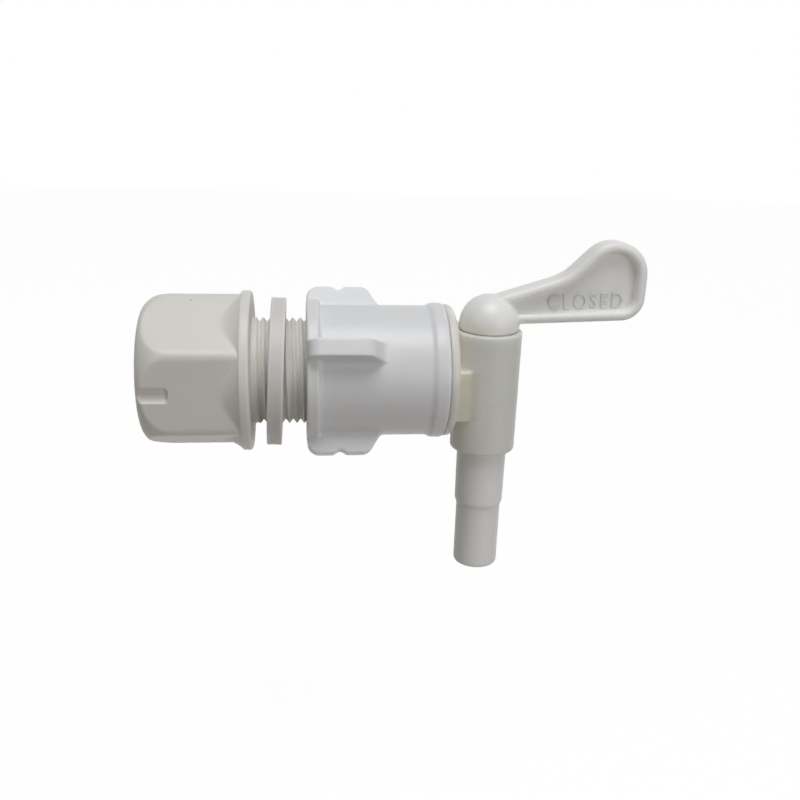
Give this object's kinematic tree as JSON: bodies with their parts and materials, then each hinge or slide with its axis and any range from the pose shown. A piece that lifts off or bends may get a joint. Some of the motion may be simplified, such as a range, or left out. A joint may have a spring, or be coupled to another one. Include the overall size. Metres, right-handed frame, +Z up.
{
  "type": "barrel tap",
  "caption": "Lever plug tap for a plastic barrel: hollow hex bolt, loose sealing washer, winged threaded socket, natural plastic tap body and a one-piece lever, plug and spout.",
  "frame": {"origin": "centre of the winged socket's wall face, on the axis of the hole in the barrel that the tap is fixed in", "axes": "+X runs along the hole's axis out of the barrel towards the tap and its lever; +Z is up, along the plug and spout; the lever points along +X at rest"},
  "size_m": [0.1247, 0.0396, 0.0876],
  "materials": {
    "bolt_plastic": "warm off-white moulded polypropylene, satin",
    "washer_plastic": "soft off-white polyethylene, matt",
    "socket_plastic": "cool white moulded polypropylene, half gloss",
    "natural_plastic": "natural uncoloured polypropylene, slightly see-through",
    "lever_plastic": "white moulded polypropylene, half gloss"
  },
  "bodies": {
    "fixed_tap": {"winged_socket": "socket_plastic", "tail_seal": "washer_plastic", "tap_body": "natural_plastic"},
    "lever": {"lever_plug": "lever_plastic"},
    "washer": {"sealing_washer": "washer_plastic"},
    "bolt": {"hex_bolt": "bolt_plastic"}
  },
  "joints": [
    {"name": "lever_turn", "type": "hinge", "parent": "fixed_tap", "child": "lever", "pos_m": [0.04605, 0, 0], "axis": [0, 0, 1], "range_deg": [-90, 90]},
    {"name": "bolt_advance", "type": "slide", "parent": "fixed_tap", "child": "washer", "axis": [1, 0, 0], "range_m": [-0.0091, 0.0044]},
    {"name": "bolt_turn", "type": "hinge", "parent": "washer", "child": "bolt", "pos_m": [0, 0, 0], "axis": [1, 0, 0], "range_deg": [-1800, 864]}
  ],
  "couplings": [
    {"joint": "bolt_advance", "follows": "bolt_turn", "m_per_rad": 0.00028871}
  ]
}
